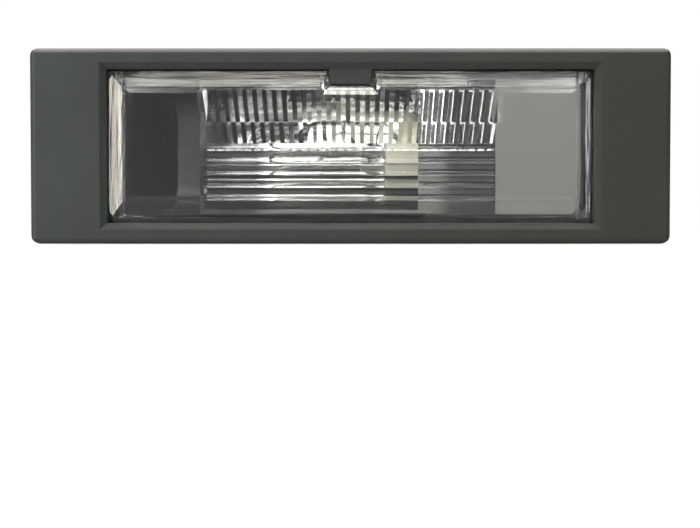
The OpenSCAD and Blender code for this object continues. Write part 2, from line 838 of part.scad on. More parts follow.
// The bright reflector: a trough in the barrel and a flat apron beside it
module reflector() {
    x0 = reflector_x;
    inner = reflector_inset + reflector_t;
    key_half = max(notch_w / 2 + wall, notch_lens_half) + slide_gap;
    color("#c9ccd0")
    difference() {
        union() {
            difference() {
                along_x(x0, reflector_x1)
                    barrel_section(apron_y, reflector_inset);
                along_x(x0 + reflector_t, reflector_x1 + over)
                    barrel_section(apron_y - over, inner);
            }
            along_y(apron_y, floor_y) {
                translate([reflector_x1 - over, -apron_h / 2])
                    square([apron_w / 2, apron_h]);
                translate([reflector_x1 + apron_w / 2, 0])
                    round_rect(apron_w, apron_h, lens_corner_r);
            }
        }
        box([-key_half, apron_y - over, notch_wall_z - slide_gap],
            [key_half, notch_y1 + slide_gap, barrel_h]);
        on_axis(nose_x - slide_gap, reflector_x1 + over, nose_r + 2 * reflector_gap);
    }
}

// The white bulb holder: nose with lugs, flange, and the connector shroud behind it
module holder_body() {
    slot_half = wedge_w / 2 + fit_gap;
    finger_half = blade_w / 2 + slide_gap;
    finger_top = blade_z + blade_t / 2 + 2 * slide_gap;
    color("#ecece2")
    difference() {
        union() {
            on_axis(nose_x, holder_flange_x + over, nose_r);
            turned()
                polygon([[0, holder_flange_x], [holder_flange_r, holder_flange_x],
                    [holder_flange_r - holder_edge_in, shroud_x0 - holder_edge_len],
                    [shroud_r, shroud_x0], [0, shroud_x0]]);
            on_axis(shroud_x0 - over, shroud_x1, shroud_r);
            for (i = [0 : lug_count - 1])
                translate([0, axis_y, 0])
                    rotate([i * 360 / lug_count, 0, 0])
                        intersection() {
                            box([lock_x - press_gap - lug_t, 0, -lug_w / 2],
                                [lock_x - press_gap, lug_r, lug_w / 2]);
                            rotate([0, 90, 0])
                                cylinder(h = lock_x, r = lug_r);
                        }
        }
        on_axis(shroud_floor_x, shroud_x1 + over, shroud_r - shroud_wall);
        box([nose_x - over, axis_y - slot_half, -wedge_t / 2 - fit_gap],
            [wedge_x1 + fit_gap, axis_y + slot_half, wedge_t / 2 + fit_gap]);
        box([nose_x - over, axis_y - finger_half, -finger_top],
            [anchor_x, axis_y + finger_half, finger_top]);
        for (s = [-1, 1])
            translate([0, axis_y, s * blade_z])
                box([anchor_x - over, -blade_w / 2 - press_gap, -blade_t / 2 - press_gap],
                    [shroud_x0, blade_w / 2 + press_gap, blade_t / 2 + press_gap]);
    }
}

// The rubber ring between the holder's flange and the neck
module holder_seal() {
    color("#161618")
    turned()
        translate([nose_r + press_gap, neck_x])
            square([ring_r - nose_r - press_gap, ring_t]);
}

// One contact: a terminal blade in the shroud that ends in a spring finger on the bulb's wedge
module contact(side) {
    path = [[shroud_x0 + blade_len, blade_z], [finger_knee_x, blade_z],
        [finger_touch_x, finger_z], [finger_mouth_x, blade_z]];
    color("#c8b070")
    translate([0, axis_y + blade_w / 2, 0])
        mirror([0, 0, side > 0 ? 0 : 1])
            rotate([90, 0, 0])
                linear_extrude(blade_w)
                    polygon(strip_outline(path, blade_t));
}

module contact_upper() {
    contact(1);
}

module contact_lower() {
    contact(-1);
}

// Outline (radius, place along X) of the bulb's round envelope, drawn in by inset
module envelope(inset) {
    r = bulb_r - inset;
    x0 = bulb_tip_x + bulb_r;
    intersection() {
        union() {
            translate([0, x0])
                circle(r);
            translate([0, x0])
                square([r, glass_shoulder_x - x0]);
            polygon([[0, glass_shoulder_x], [r, glass_shoulder_x],
                [wedge_t / 2 + pinch, glass_x1 - inset], [0, glass_x1 - inset]]);
        }
        translate([0, bulb_tip_x])
            square([bulb_r, bulb_len]);
    }
}

// The clear glass of the bulb with its flat wedge base
module bulb_glass() {
    bore = lead_r + press_gap;
    color("#dfe8ea", 0.5)
    difference() {
        union() {
            turned()
                envelope(0);
            box([glass_shoulder_x + wedge_step_x, axis_y - wedge_w / 2 + wedge_step_y,
                    -wedge_t / 2],
                [wedge_x1, axis_y + wedge_w / 2 - wedge_step_y, wedge_t / 2]);
            box([glass_x1, axis_y - wedge_w / 2, -wedge_t / 2],
                [wedge_x1 - wedge_step_x, axis_y + wedge_w / 2, wedge_t / 2]);
        }
        turned()
            envelope(glass_t);
        for (s = [-1, 1])
            translate([glass_shoulder_x, axis_y + s * lead_y, 0])
                rotate([0, 90, 0])
                    cylinder(h = wedge_x1 - glass_shoulder_x + over, r = bore);
    }
}

// A round wire swept along a path that never runs along Y
module tube(path, r, sides) {
    last = len(path) - 1;
    function ahead(i) = unit(path[min(i + 1, last)] - path[max(i - 1, 0)]);
    function corner(i, k) = let (
        t = ahead(i),
        u = unit(cross(t, [0, 1, 0])),
        a = 360 * k / sides) path[i] + r * (u * cos(a) + cross(t, u) * sin(a));
    points = [for (i = [0 : last], k = [0 : sides - 1]) corner(i, k)];
    skin = [for (i = [0 : last - 1], k = [0 : sides - 1], half = [0, 1])
        let (a = i * sides + k, b = i * sides + (k + 1) % sides)
        half == 0 ? [a, b, b + sides] : [a, b + sides, a + sides]];
    first = [for (k = [sides - 1 : -1 : 0]) k];
    final = [for (k = [0 : sides - 1]) last * sides + k];
    polyhedron(points = points, faces = concat(skin, [first, final]));
}

// One lead wire: from the filament through the wedge, round its end and back along its flat
module bulb_lead(side) {
    face_z = wedge_t / 2 + lead_r + press_gap / 2;
    turn_r = face_z / 2;
    turn_x = wedge_x1 - turn_r + lead_r + press_gap;
    path = concat(
        [[filament_x, side * filament_len / 2, 0],
            [filament_x + lead_straight, side * filament_len / 2, 0],
            [glass_shoulder_x, side * lead_y, 0]],
        [for (a = [-90 : 22.5 : 90])
            [max(turn_x, wedge_x1 - lead_r) + turn_r * cos(a), side * lead_y,
                side * (turn_r + turn_r * sin(a))]],
        [[lead_end_x, side * lead_y, side * face_z]]);
    color("#b9b4aa")
    translate([0, axis_y, 0])
        tube(path, lead_r, 8);
}

module bulb_lead_upper() {
    bulb_lead(1);
}

module bulb_lead_lower() {
    bulb_lead(-1);
}

// The coiled filament that spans the ends of the two leads
module bulb_filament() {
    steps = 10;
    n = filament_turns * steps;
    x = filament_x - filament_r - filament_wire_r - lead_r / 2;
    path = [for (i = [0 : n]) let (a = 360 * i / steps)
        [x + filament_r * cos(a), filament_len * (i / n - 0.5), filament_r * sin(a)]];
    color("#8a8a92")
    translate([0, axis_y, 0])
        tube(path, filament_wire_r, 4);
}

// The bent steel clip: a foot with two wings, a bend, and a leaf that slopes to its tip
module spring_clip() {
    bend = clip_bend_r;
    slope = atan(clip_drop / clip_len);
    centre = [clip_x - bend, clip_h - bend];
    leaf_start = centre + bend * [cos(90 + slope), sin(90 + slope)];
    tip = leaf_start + clip_len * [-1, -tan(slope)];
    path = concat([[clip_x, clip_foot_y]], arc(centre, bend, 0, 90 + slope, 8),
        [tip, tip + clip_curl]);
    bead_mid = leaf_start + bead_place * (tip - leaf_start);
    color("#bebed0") {
        across_z(clip_w)
            polygon(strip_outline(path, clip_t));
        box([clip_x - clip_t / 2, clip_foot_y, -clip_foot_w / 2],
            [clip_x + clip_t / 2, clip_wing_top_y, clip_foot_w / 2]);
        translate([bead_mid[0], bead_mid[1], bead_z])
            rotate([0, 0, slope])
                rotate([0, bead_turn, 0]) {
                    rotate([0, 90, 0])
                        translate([0, 0, -bead_len / 2])
                            cylinder(h = bead_len, r = bead_r);
                    for (s = [-1, 1])
                        translate([s * bead_len / 2, 0, 0])
                            sphere(bead_r);
                }
    }
}

bezel();
lens();
lens_seal();
housing();
reflector();
holder_body();
holder_seal();
contact_upper();
contact_lower();
bulb_glass();
bulb_filament();
bulb_lead_upper();
bulb_lead_lower();
spring_clip();
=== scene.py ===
"""Looks for the number plate lamp.

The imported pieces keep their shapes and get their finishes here. The bulb's filament and lead wires
are made here as round wire, then the floor, the lamps, the room and the camera.
"""

import logging
import math
from abc import ABC, abstractmethod
from dataclasses import dataclass, field
from enum import Enum

import bpy
from mathutils import Matrix, Vector


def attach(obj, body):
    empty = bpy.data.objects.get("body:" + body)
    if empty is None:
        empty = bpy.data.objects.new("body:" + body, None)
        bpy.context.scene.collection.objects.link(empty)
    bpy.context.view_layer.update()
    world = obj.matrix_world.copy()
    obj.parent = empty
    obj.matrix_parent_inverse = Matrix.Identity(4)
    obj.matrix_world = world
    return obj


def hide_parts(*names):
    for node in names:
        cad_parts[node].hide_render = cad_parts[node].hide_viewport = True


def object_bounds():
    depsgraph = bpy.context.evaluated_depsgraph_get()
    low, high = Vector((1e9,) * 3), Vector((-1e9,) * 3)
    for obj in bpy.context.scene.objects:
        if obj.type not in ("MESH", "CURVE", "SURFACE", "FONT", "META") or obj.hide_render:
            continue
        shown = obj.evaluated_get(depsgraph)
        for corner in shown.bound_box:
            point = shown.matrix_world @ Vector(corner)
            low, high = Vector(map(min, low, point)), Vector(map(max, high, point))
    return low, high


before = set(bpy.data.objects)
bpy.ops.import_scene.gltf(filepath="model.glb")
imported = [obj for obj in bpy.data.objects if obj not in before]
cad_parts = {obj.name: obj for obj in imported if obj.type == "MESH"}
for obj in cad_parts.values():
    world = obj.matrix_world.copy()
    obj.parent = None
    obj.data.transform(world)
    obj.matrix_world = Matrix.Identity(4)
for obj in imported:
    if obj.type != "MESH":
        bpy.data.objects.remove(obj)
CAD_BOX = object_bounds()

LOG = logging.getLogger("plate_lamp")
MM = 0.001
ROOT = "root"
FLOAT = "NodeSocketFloat"
INTEGER = "NodeSocketInt"
VECTOR = "NodeSocketVector"
COLOR = "NodeSocketColor"
GEOMETRY = "NodeSocketGeometry"
MATERIAL = "NodeSocketMaterial"

Color = tuple[float, float, float]
Range = tuple[float, float]
Inputs = bpy.types.NodeInputs
Outputs = bpy.types.NodeOutputs
Socket = bpy.types.NodeSocket
NodeTree = bpy.types.NodeTree
Material = bpy.types.Material
Value = float | Socket
Paint = tuple[float, float, float, float] | Socket


def srgb(red: int, green: int, blue: int) -> Color:
    """Turns a display colour into the linear one that shaders use.

    Args:
        red: Red from 0 to 255.
        green: Green from 0 to 255.
        blue: Blue from 0 to 255.

    Returns:
        The linear colour.
    """

    def linear(value: float) -> float:
        """One channel, from 0 to 1."""
        return value / 12.92 if value <= 0.04045 else ((value + 0.055) / 1.055) ** 2.4

    return tuple(linear(channel / 255) for channel in (red, green, blue))


def rgba(color: Color) -> tuple[float, float, float, float]:
    """Adds a full alpha to a colour."""
    return (*color, 1.0)


class Sheet:
    """A node tree under construction, for shaders and for geometry."""

    def __init__(self, tree: NodeTree) -> None:
        """Empties the tree.

        Args:
            tree: The tree.
        """
        self.tree = tree
        self.tree.nodes.clear()
        self.link = tree.links.new

    def feed(self, value: object, socket: Socket) -> None:
        """Links a socket's value to an input, or sets a plain one on it.

        Args:
            value: The socket or the plain value.
            socket: The input.
        """
        if isinstance(value, Socket):
            self.link(value, socket)
        else:
            socket.default_value = value

    def node(self, kind: str, values: dict | None = None, **settings) -> bpy.types.Node:
        """Adds a node.

        Args:
            kind: Blender's name of the node type.
            values: What goes into inputs, by name or place. A socket is linked, the rest is set.
            settings: Properties of the node itself.

        Returns:
            The new node.
        """
        node = self.tree.nodes.new(kind)
        for name, value in settings.items():
            setattr(node, name, value)
        for name, value in (values or {}).items():
            self.feed(value, node.inputs[name])
        return node

    def math(self, operation: str, first: Value, second: Value = 0.0, third: Value = 0.0) -> Socket:
        """Adds a Math node on sockets or numbers and returns its result."""
        values = {0: first, 1: second, 2: third}
        return self.node("ShaderNodeMath", values, operation=operation).outputs[0]

    def product(self, first: Value, *others: Value) -> Socket:
        """Multiplies numbers.

        Args:
            first: The first number.
            others: What it is multiplied by.

        Returns:
            The product.
        """
        for other in others:
            first = self.math("MULTIPLY", first, other)
        return first

    def blend(self, factor: Value, first: Paint, second: Paint, how: str = "MIX") -> Socket:
        """Mixes two colours and returns the result."""
        values = {0: factor, 6: first, 7: second}
        return self.node("ShaderNodeMix", values, data_type="RGBA", blend_type=how).outputs[2]

    def tinted(self, color: Paint, filter_color: Color) -> Socket:
        """Multiplies a colour by another and returns the result."""
        return self.blend(1.0, color, rgba(filter_color), "MULTIPLY")

    def remap(
        self, value: Value, low: float, high: float, to_low: float = 0.0, to_high: float = 1.0
    ) -> Socket:
        """Maps a value from one range to another, held at the ends.

        Args:
            value: The value.
            low: Where the first range starts, which may be above its end.
            high: Where the first range ends.
            to_low: What the start becomes.
            to_high: What the end becomes.

        Returns:
            The mapped value.
        """
        node = self.node("ShaderNodeMapRange", {0: value, 1: low, 2: high, 3: to_low, 4: to_high})
        return node.outputs[0]

    def scaled(self, vector: Socket, factors: tuple[float, float, float]) -> Socket:
        """Multiplies a vector by three factors."""
        node = self.node("ShaderNodeVectorMath", {0: vector, 1: factors}, operation="MULTIPLY")
        return node.outputs[0]

    def split(self, vector: Socket) -> Outputs:
        """Splits a vector and returns its X, Y and Z."""
        return self.node("ShaderNodeSeparateXYZ", {0: vector}).outputs

    def upward(self) -> Socket:
        """Returns how far the surface faces up, from -1 to 1."""
        return self.split(self.node("ShaderNodeNewGeometry").outputs["Normal"])["Z"]

    def noise(
        self, vector: Socket, per_metre: Value, detail: float, roughness: float = 0.5
    ) -> Outputs:
        """Adds soft noise.

        Args:
            vector: The place that the noise is read at.
            per_metre: How many waves it has in a metre.
            detail: How many finer waves lie on them.
            roughness: How strong the finer ones are.

        Returns:
            Its outputs, the grey one first.
        """
        values = {"Vector": vector, "Scale": per_metre, "Detail": detail, "Roughness": roughness}
        return self.node("ShaderNodeTexNoise", values).outputs


def new_group(name: str, kind: str, inputs: dict, outputs: dict) -> tuple[Sheet, Outputs, Inputs]:
    """Starts a node group with named inputs and outputs.

    Args:
        name: Name of the group.
        kind: Blender's name of the tree type.
        inputs: The socket type of each input.
        outputs: The socket type of each output.

    Returns:
        The group's sheet, the sockets that it is given and those that it has to feed.
    """
    sheet = Sheet(bpy.data.node_groups.new(name, kind))
    for way, sockets in (("INPUT", inputs), ("OUTPUT", outputs)):
        for label, socket_type in sockets.items():
            sheet.tree.interface.new_socket(label, in_out=way, socket_type=socket_type)
    return sheet, sheet.node("NodeGroupInput").outputs, sheet.node("NodeGroupOutput").inputs


class Effect(Enum):
    """The shared effects, each a node group that is built once."""

    GRAIN = "moulded_grain"
    TONE = "slow_tone"
    RUBS = "fine_rubs"
    DUST = "settled_dust"
    FLOW = "flow_lines"


@dataclass(frozen=True)
class EffectSizes:
    """What the effects keep wherever they are used: how close marks lie, and where they fade."""

    tooth_per_pit: float = 2.7
    pit_edge: Range = (0.05, 0.75)
    patch_edge: Range = (0.35, 0.65)
    wanders_per_metre: float = 140.0
    wander: float = 0.004
    streak_stretch: float = 0.12
    streak_edge: Range = (0.58, 0.7)
    breaks_per_metre: float = 210.0
    break_edge: Range = (0.45, 0.6)
    lying_edge: Range = (0.2, 1.0)
    lying_least: float = 0.04
    specks_per_metre: float = 1900.0
    speck_edge: Range = (0.5, 0.72)
    clouds_per_metre: float = 90.0
    cloud_edge: Range = (0.4, 0.7)
    dust_color: Color = srgb(168, 164, 156)
    dust_dulls: float = 0.5
    rim_soft: float = 0.0002
    lying_stretch: float = 0.035
    upright_stretch: float = 0.05


class Effects:
    """Builds the shared node groups and keeps them at hand."""

    def __init__(self) -> None:
        """Builds every group."""
        self.sizes = EffectSizes()
        self.groups = {
            Effect.GRAIN: self.grain(),
            Effect.TONE: self.tone(),
            Effect.RUBS: self.rubs(),
            Effect.DUST: self.dust(),
            Effect.FLOW: self.flow(),
        }

    def grain(self) -> NodeTree:
        """Spark-eroded mould grain: small soft pits of one pitch, with a finer tooth on top.

        Returns:
            The group.
        """
        sheet, given, taken = new_group(
            Effect.GRAIN.value,
            "ShaderNodeTree",
            {"Vector": VECTOR, "Per Metre": FLOAT, "Tooth": FLOAT},
            {"Height": FLOAT, "Pits": FLOAT},
        )
        values = {"Vector": given[0], "Scale": given[1]}
        cells = sheet.node("ShaderNodeTexVoronoi", values, feature="SMOOTH_F1")
        pits = sheet.remap(cells.outputs["Distance"], *self.sizes.pit_edge)
        tooth = sheet.noise(given[0], sheet.product(given[1], self.sizes.tooth_per_pit), detail=2.0)
        sheet.link(sheet.math("MULTIPLY_ADD", tooth[0], given[2], pits), taken[0])
        sheet.link(pits, taken[1])
        return sheet.tree

    def tone(self) -> NodeTree:
        """Slow change between two colours over a surface, in soft patches.

        Returns:
            The group.
        """
        sheet, given, taken = new_group(
            Effect.TONE.value,
            "ShaderNodeTree",
            {"Vector": VECTOR, "First": COLOR, "Second": COLOR, "Per Metre": FLOAT},
            {"Color": COLOR, "Mask": FLOAT},
        )
        patches = sheet.noise(given[0], given[3], detail=3.0, roughness=0.55)
        mask = sheet.remap(patches[0], *self.sizes.patch_edge)
        sheet.link(sheet.blend(mask, given[1], given[2]), taken[0])
        sheet.link(mask, taken[1])
        return sheet.tree

    def rubs(self) -> NodeTree:
        """Fine rub marks: thin broken streaks, as a mask.

        Returns:
            The group.
        """
        sheet, given, taken = new_group(
            Effect.RUBS.value,
            "ShaderNodeTree",
            {"Vector": VECTOR, "Per Metre": FLOAT, "Amount": FLOAT},
            {"Mask": FLOAT},
        )
        bent = sheet.noise(given[0], self.sizes.wanders_per_metre, detail=1.0)
        offset = sheet.scaled(bent["Color"], (self.sizes.wander,) * 3)
        moved = sheet.node("ShaderNodeVectorMath", {0: given[0], 1: offset}, operation="ADD")
        drawn = sheet.scaled(moved.outputs[0], (self.sizes.streak_stretch, 1.0, 1.0))
        streaks = sheet.noise(drawn, given[1], detail=4.0)
        thin = sheet.remap(streaks[0], *self.sizes.streak_edge)
        broken = sheet.noise(given[0], self.sizes.breaks_per_metre, detail=2.0)
        some = sheet.product(thin, sheet.remap(broken[0], *self.sizes.break_edge))
        sheet.link(sheet.product(some, given[2]), taken[0])
        return sheet.tree

    def dust(self) -> NodeTree:
        """Settled dust: pale and dull on faces that look up, hardly there elsewhere.

        Returns:
            The group.
        """
        sheet, given, taken = new_group(
            Effect.DUST.value,
            "ShaderNodeTree",
            {"Vector": VECTOR, "Color": COLOR, "Roughness": FLOAT, "Amount": FLOAT},
            {"Color": COLOR, "Roughness": FLOAT},
        )
        lying = sheet.remap(sheet.upward(), *self.sizes.lying_edge, self.sizes.lying_least, 1.0)
        specks = sheet.noise(given[0], self.sizes.specks_per_metre, detail=3.0)
        clouds = sheet.noise(given[0], self.sizes.clouds_per_metre, detail=2.0)
        fine = sheet.remap(specks[0], *self.sizes.speck_edge)
        wide = sheet.remap(clouds[0], *self.sizes.cloud_edge)
        cover = sheet.product(lying, given[3], sheet.math("ADD", fine, wide))
        sheet.link(sheet.blend(cover, given[1], rgba(self.sizes.dust_color)), taken[0])
        sheet.link(sheet.math("MULTIPLY_ADD", cover, self.sizes.dust_dulls, given[2]), taken[1])
        return sheet.tree

    def flow(self) -> NodeTree:
        """Lines that the melt draws along the rim of a long clear moulding, as a height.

        Returns:
            The group.
        """
        sheet, given, taken = new_group(
            Effect.FLOW.value,
            "ShaderNodeTree",
            {
                "Vector": VECTOR,
                "Side X": FLOAT,
                "Top Z": FLOAT,
                "Bottom Z": FLOAT,
                "Per Metre": FLOAT,
            },
            {"Height": FLOAT},
        )
        parts = sheet.split(given[0])
        side = sheet.math("SUBTRACT", sheet.math("ABSOLUTE", parts["X"]), given[1])
        above = sheet.math("SUBTRACT", parts["Z"], given[2])
        below = sheet.math("SUBTRACT", given[3], parts["Z"])
        at_side = sheet.remap(side, 0.0, self.sizes.rim_soft)
        at_edge = sheet.remap(sheet.math("MAXIMUM", above, below), 0.0, self.sizes.rim_soft)
        lying = sheet.scaled(given[0], (self.sizes.lying_stretch, 1.0, 1.0))
        upright = sheet.scaled(given[0], (1.0, 1.0, self.sizes.upright_stretch))
        lines = sheet.noise(sheet.blend(at_side, lying, upright), given[4], detail=2.0)
        sheet.link(sheet.product(lines[0], sheet.math("MAXIMUM", at_side, at_edge)), taken[0])
        return sheet.tree


@dataclass(frozen=True)
class Grain:
    """Moulded grain on a finish: pits per metre, share of the finer tooth, and depth in metres."""

    per_metre: float
    tooth: float
    depth: float


@dataclass(frozen=True)
class Rubs:
    """Rub marks on one finish: how many per metre, and how strong."""

    per_metre: float
    amount: float


@dataclass(frozen=True)
class Ripple:
    """Unevenness of a smooth skin: waves per metre, how many finer ones, and depth in metres."""

    per_metre: float
    detail: float
    depth: float


@dataclass(frozen=True)
class Flow:
    """Flow lines at a rim: its start at the sides, above and below, lines per metre, strength."""

    side_x: float
    top_z: float
    bottom_z: float
    per_metre: float
    share: float


class MaterialSheet(Sheet):
    """A material under construction, with the shared effects at hand."""

    EDGE_SAMPLES = 4

    def __init__(self, name: str, effects: Effects) -> None:
        """Makes the material and its shader.

        Args:
            name: Name of the material.
            effects: The shared effects.
        """
        self.material = bpy.data.materials.new(name)
        self.material.use_nodes = True
        super().__init__(self.material.node_tree)
        self.effects = effects
        self.shader = self.node("ShaderNodeBsdfPrincipled")
        self.output = self.node("ShaderNodeOutputMaterial", {0: self.shader.outputs[0]})
        self.place = self.node("ShaderNodeTexCoord").outputs["Object"]

    def effect(self, effect: Effect, values: dict) -> Outputs:
        """Places a shared effect and returns its outputs. Inputs after the first come by place."""
        group = self.effects.groups[effect]
        return self.node("ShaderNodeGroup", {0: self.place, **values}, node_tree=group).outputs

    def tone(self, first: Paint, second: Paint, per_metre: float) -> Outputs:
        """Changes slowly between two colours and returns the colour and its mask."""
        return self.effect(Effect.TONE, {1: first, 2: second, 3: per_metre})

    def grain(self, grain: Grain) -> Outputs:
        """Adds moulded grain and returns its height and its pits."""
        return self.effect(Effect.GRAIN, {1: grain.per_metre, 2: grain.tooth})

    def rubs(self, rubs: Rubs) -> Socket:
        """Adds rub marks and returns their mask."""
        return self.effect(Effect.RUBS, {1: rubs.per_metre, 2: rubs.amount})[0]

    def dust(self, color: Paint, roughness: Value, amount: float) -> Outputs:
        """Lays dust over a finish and returns the colour and the roughness."""
        return self.effect(Effect.DUST, {1: color, 2: roughness, 3: amount})

    def flow(self, flow: Flow) -> Socket:
        """Adds flow lines and returns their height."""
        values = {1: flow.side_x, 2: flow.top_z, 3: flow.bottom_z, 4: flow.per_metre}
        return self.effect(Effect.FLOW, values)[0]

    def set(self, **values) -> None:
        """Sets or links inputs of the shader, with spaces in names written as underscores."""
        for name, value in values.items():
            self.feed(value, self.shader.inputs[name.replace("_", " ")])

    def bump(self, height: Socket, depth: float, edge: float = 0.0) -> None:
        """Feeds a height into the shader's normal.

        Args:
            height: The height, about 0 to 1.
            depth: What a height of 1 is in metres.
            edge: Radius of the small rounding that moulded edges have, or 0 for none.
        """
        node = self.node("ShaderNodeBump", {"Height": height, "Distance": depth, "Strength": 1.0})
        if edge:
            soft = self.node("ShaderNodeBevel", {"Radius": edge}, samples=self.EDGE_SAMPLES)
            self.link(soft.outputs[0], node.inputs["Normal"])
        self.link(node.outputs[0], self.shader.inputs["Normal"])

    def let_lamps_through(self, color: Color) -> None:
        """Makes the surface clear to rays from the lamps, so that what lies behind it is lit.

        Args:
            color: What one surface lets through.
        """
        ray = self.node("ShaderNodeLightPath").outputs["Is Shadow Ray"]
        clear = self.node("ShaderNodeBsdfTransparent", {"Color": rgba(color)})
        own = self.shader.outputs[0]
        mix = self.node("ShaderNodeMixShader", {0: ray, 1: own, 2: clear.outputs[0]})
        self.link(mix.outputs[0], self.output.inputs[0])


@dataclass(frozen=True)
class Finish(ABC):
    """What one material is made from."""

    name: str

    @abstractmethod
    def fill(self, sheet: MaterialSheet) -> None:
        """Feeds the material's shader."""

    def material(self, effects: Effects) -> Material:
        """Builds the material.

        Args:
            effects: The shared effects.

        Returns:
            The material.
        """
        sheet = MaterialSheet(self.name, effects)
        self.fill(sheet)
        return sheet.material


@dataclass(frozen=True)
class BezelFinish(Finish):
    """Grey moulded plastic with a matt grain, cooler at one end, a painted highlight along the top
    edge, darker behind.
    """

    name: str = "bezel_grey"
    cool: Color = srgb(65, 71, 70)
    warm: Color = srgb(62, 63, 59)
    # Painted highlight: a pale colour on the upward faces of the top edge, where light from above
    # falls.
    painted_highlight: Color = srgb(150, 148, 148)
    painted_highlight_share: float = 0.75
    painted_highlight_height: Range = (0.0125, 0.0145)
    painted_highlight_tilt: Range = (0.1, 0.6)
    back: Color = srgb(46, 48, 52)
    back_edge: Range = (-0.0007, -0.0004)
    shade: Color = (0.86, 0.86, 0.87)
    patches_per_metre: float = 70.0
    grain: Grain = Grain(3600.0, 0.35, 0.000012)
    pit: Color = (0.02, 0.02, 0.02)
    pit_share: float = 0.12
    rubs: Rubs = Rubs(1500.0, 0.35)
    roughness: float = 0.42
    rub_polish: float = -0.2
    dust: float = 0.05
    ior: float = 1.5
    shine: float = 0.2
    edge: float = 0.00028

    def fill(self, sheet: MaterialSheet) -> None:
        """Feeds the material's shader.

        Args:
            sheet: The material's sheet.
        """
        parts = sheet.split(sheet.place)
        share = sheet.remap(parts["X"], CAD_BOX[0].x, CAD_BOX[1].x)
        front = sheet.blend(share, rgba(self.cool), rgba(self.warm))
        body = sheet.blend(sheet.remap(parts["Y"], *self.back_edge), front, rgba(self.back))
        # Painted highlight: the top edge's upward faces get a pale colour, stronger the more they
        # face up.
        painted_highlight_band = sheet.remap(parts["Z"], *self.painted_highlight_height)
        painted_highlight_mask = sheet.remap(sheet.upward(), *self.painted_highlight_tilt, 0.0, self.painted_highlight_share)
        base = sheet.blend(sheet.product(painted_highlight_band, painted_highlight_mask), body, rgba(self.painted_highlight))
        tone = sheet.tone(base, sheet.tinted(base, self.shade), self.patches_per_metre)
        grain = sheet.grain(self.grain)
        pits = sheet.remap(grain[1], 0.0, 1.0, 0.0, self.pit_share)
        pitted = sheet.blend(pits, tone[0], rgba(self.pit))
        rough = sheet.math("MULTIPLY_ADD", sheet.rubs(self.rubs), self.rub_polish, self.roughness)
        dusty = sheet.dust(pitted, rough, self.dust)
        sheet.set(Base_Color=dusty[0], Roughness=dusty[1])
        sheet.set(IOR=self.ior, Specular_IOR_Level=self.shine)
        sheet.bump(grain[0], self.grain.depth, self.edge)


@dataclass(frozen=True)
class HousingFinish(Finish):
    """Near-black moulded plastic, smoother and bluer than the bezel, with soft patches and rubs."""

    name: str = "housing_black"
    color: Color = srgb(46, 48, 55)
    second: Color = srgb(38, 40, 47)
    patches_per_metre: float = 110.0
    grain: Grain = Grain(5200.0, 0.6, 0.000004)
    rubs: Rubs = Rubs(1100.0, 0.3)
    rubbed: Color = srgb(96, 99, 108)
    roughness: float = 0.34
    patch_dulls: float = 0.1
    rub_dulls: float = 0.18
    dust: float = 0.07
    ior: float = 1.5
    edge: float = 0.00022

    def fill(self, sheet: MaterialSheet) -> None:
        """Feeds the material's shader.

        Args:
            sheet: The material's sheet.
        """
        tone = sheet.tone(rgba(self.color), rgba(self.second), self.patches_per_metre)
        rubs = sheet.rubs(self.rubs)
        lighter = sheet.blend(rubs, tone[0], rgba(self.rubbed))
        rough = sheet.math("MULTIPLY_ADD", tone[1], self.patch_dulls, self.roughness)
        worn = sheet.math("MULTIPLY_ADD", rubs, self.rub_dulls, rough)
        dusty = sheet.dust(lighter, worn, self.dust)
        sheet.set(Base_Color=dusty[0], Roughness=dusty[1], IOR=self.ior)
        sheet.bump(sheet.grain(self.grain)[0], self.grain.depth, self.edge)


@dataclass(frozen=True)
class LensFinish(Finish):
    """Clear acrylic, faintly grey-green, with hair marks, an uneven skin and flow lines."""

    name: str = "lens_clear"
    tint: Color = (0.955, 0.965, 0.955)
    haze: Color = (0.8, 0.8, 0.78)
    haze_share: float = 0.3
    rubs: Rubs = Rubs(1300.0, 0.6)
    roughness: float = 0.01
    rub_dulls: float = 0.16
    ripple: Ripple = Ripple(160.0, 1.0, 0.00002)
    flow: Flow = Flow(0.0365, 0.0093, -0.0087, 1500.0, 4.0)
    ior: float = 1.49
    lets_through: Color = (0.8, 0.82, 0.81)

    def fill(self, sheet: MaterialSheet) -> None:
        """Feeds the material's shader.

        Args:
            sheet: The material's sheet.
        """
        rubs = sheet.rubs(self.rubs)
        rough = sheet.math("MULTIPLY_ADD", rubs, self.rub_dulls, self.roughness)
        skin = sheet.noise(sheet.place, self.ripple.per_metre, self.ripple.detail)
        height = sheet.math("MULTIPLY_ADD", sheet.flow(self.flow), self.flow.share, skin[0])
        hazed = sheet.blend(sheet.product(rubs, self.haze_share), rgba(self.tint), rgba(self.haze))
        sheet.set(Base_Color=hazed, Roughness=rough, IOR=self.ior, Transmission_Weight=1.0)
        sheet.bump(height, self.ripple.depth)
        sheet.let_lamps_through(self.lets_through)


